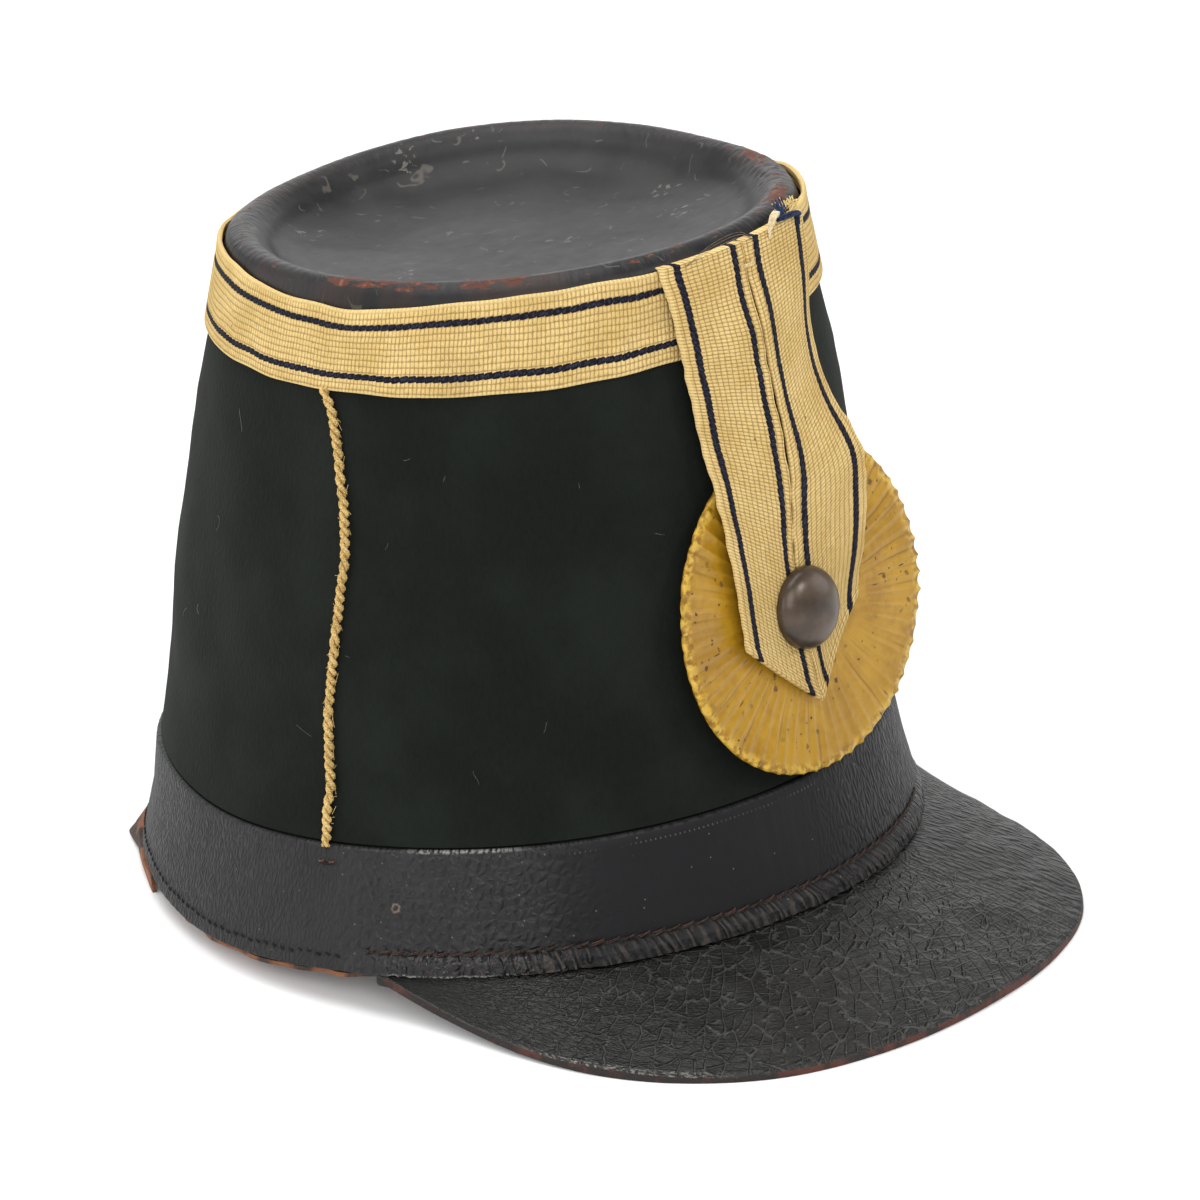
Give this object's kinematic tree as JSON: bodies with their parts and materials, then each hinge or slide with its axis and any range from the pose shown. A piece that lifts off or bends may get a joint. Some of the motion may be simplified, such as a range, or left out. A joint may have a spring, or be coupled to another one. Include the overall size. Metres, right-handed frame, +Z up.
{
  "type": "kepi",
  "caption": "Tall felt kepi with a dished leather top, webbing band and front loop, fluted cockade with a domed button, leather base band and a sloping leather peak.",
  "frame": {"origin": "middle of the box's underside: the surface that the hat stands on", "axes": "+Z up, -Y to the front where the peak is, +X to the wearer's left; the rim is pitched back by 4.3 degrees, as the hat stands on its peak and on the back of its rim"},
  "size_m": [0.2005, 0.2507, 0.1802],
  "materials": {
    "felt": "thick fulled felt, dark bottle green, matt, with lint",
    "top_leather": "black leather worn to a satin dark grey, scuffed",
    "band_leather": "black grained leather, wrinkled, half glossy",
    "peak_leather": "black varnished leather, cracked, raw brown edge",
    "sweat_leather": "brown leather, raw edge",
    "webbing": "straw coloured woven webbing with two navy stripes",
    "cord": "straw coloured two-strand twisted cord",
    "cockade_sheet": "pressed fluted leather, ochre varnish, pitted",
    "button_metal": "domed button, dark bronze, worn smooth"
  },
  "bodies": {
    "root": {"crown_wall": "felt", "crown_top": "top_leather", "top_band": "webbing", "loop_strip_left": "webbing", "loop_strip_right": "webbing", "cockade": "cockade_sheet", "button": "button_metal", "side_cord_left": "cord", "side_cord_right": "cord", "base_band": "band_leather", "peak": "peak_leather", "sweatband": "sweat_leather"}
  },
  "joints": []
}
